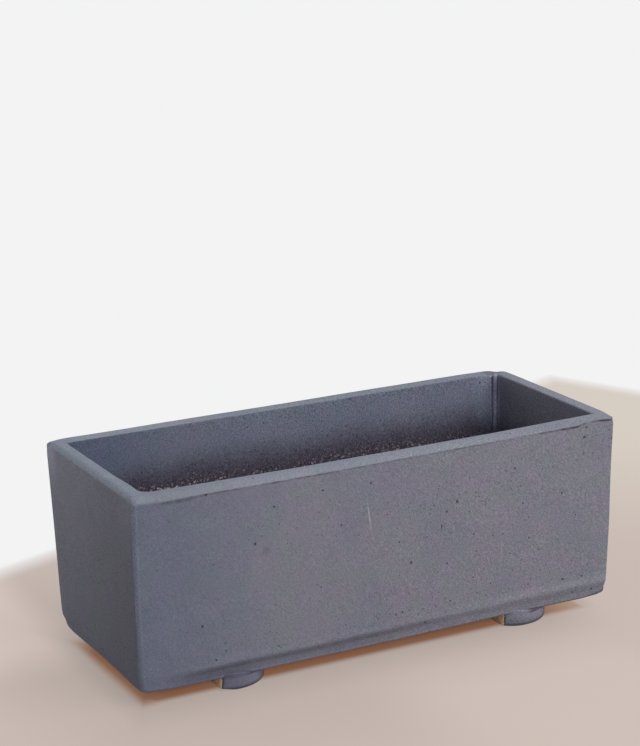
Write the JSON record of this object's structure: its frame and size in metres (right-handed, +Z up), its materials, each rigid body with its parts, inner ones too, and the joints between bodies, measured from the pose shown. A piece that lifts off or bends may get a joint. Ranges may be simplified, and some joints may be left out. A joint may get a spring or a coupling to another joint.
{
  "type": "oblong slab-built flower pot",
  "caption": "Oblong matte charcoal stoneware planter trough built from clay slabs, open on top, with drain holes and low clay feet.",
  "frame": {"origin": "on the table, under the middle of the pot's bounding box", "axes": "+X along the pot's length, the front face looks towards -Y, +Z up"},
  "size_m": [0.24, 0.0978, 0.0947],
  "materials": {
    "charcoal_wall": "matte charcoal slip over coarse dark stoneware, fine pits and speckle",
    "floor_clay": "matte charcoal edge, bare coarse dark-brown clay on top and underneath",
    "coil_clay": "matte, smoothed by hand, charcoal near the rim and bare brown clay below",
    "foot_clay": "matte charcoal on the rounded sides, bare tan clay on the cut end and sole"
  },
  "bodies": {
    "root": {"floor_slab": "floor_clay", "wall_front": "charcoal_wall", "wall_right": "charcoal_wall", "wall_back": "charcoal_wall", "wall_left": "charcoal_wall", "floor_coil_front": "coil_clay", "floor_coil_right": "coil_clay", "floor_coil_back": "coil_clay", "floor_coil_left": "coil_clay", "corner_coil_front_left": "coil_clay", "corner_coil_front_right": "coil_clay", "corner_coil_back_right": "coil_clay", "corner_coil_back_left": "coil_clay", "foot_front_left": "foot_clay", "foot_front_right": "foot_clay", "foot_back_right": "foot_clay", "foot_back_left": "foot_clay"}
  },
  "joints": []
}
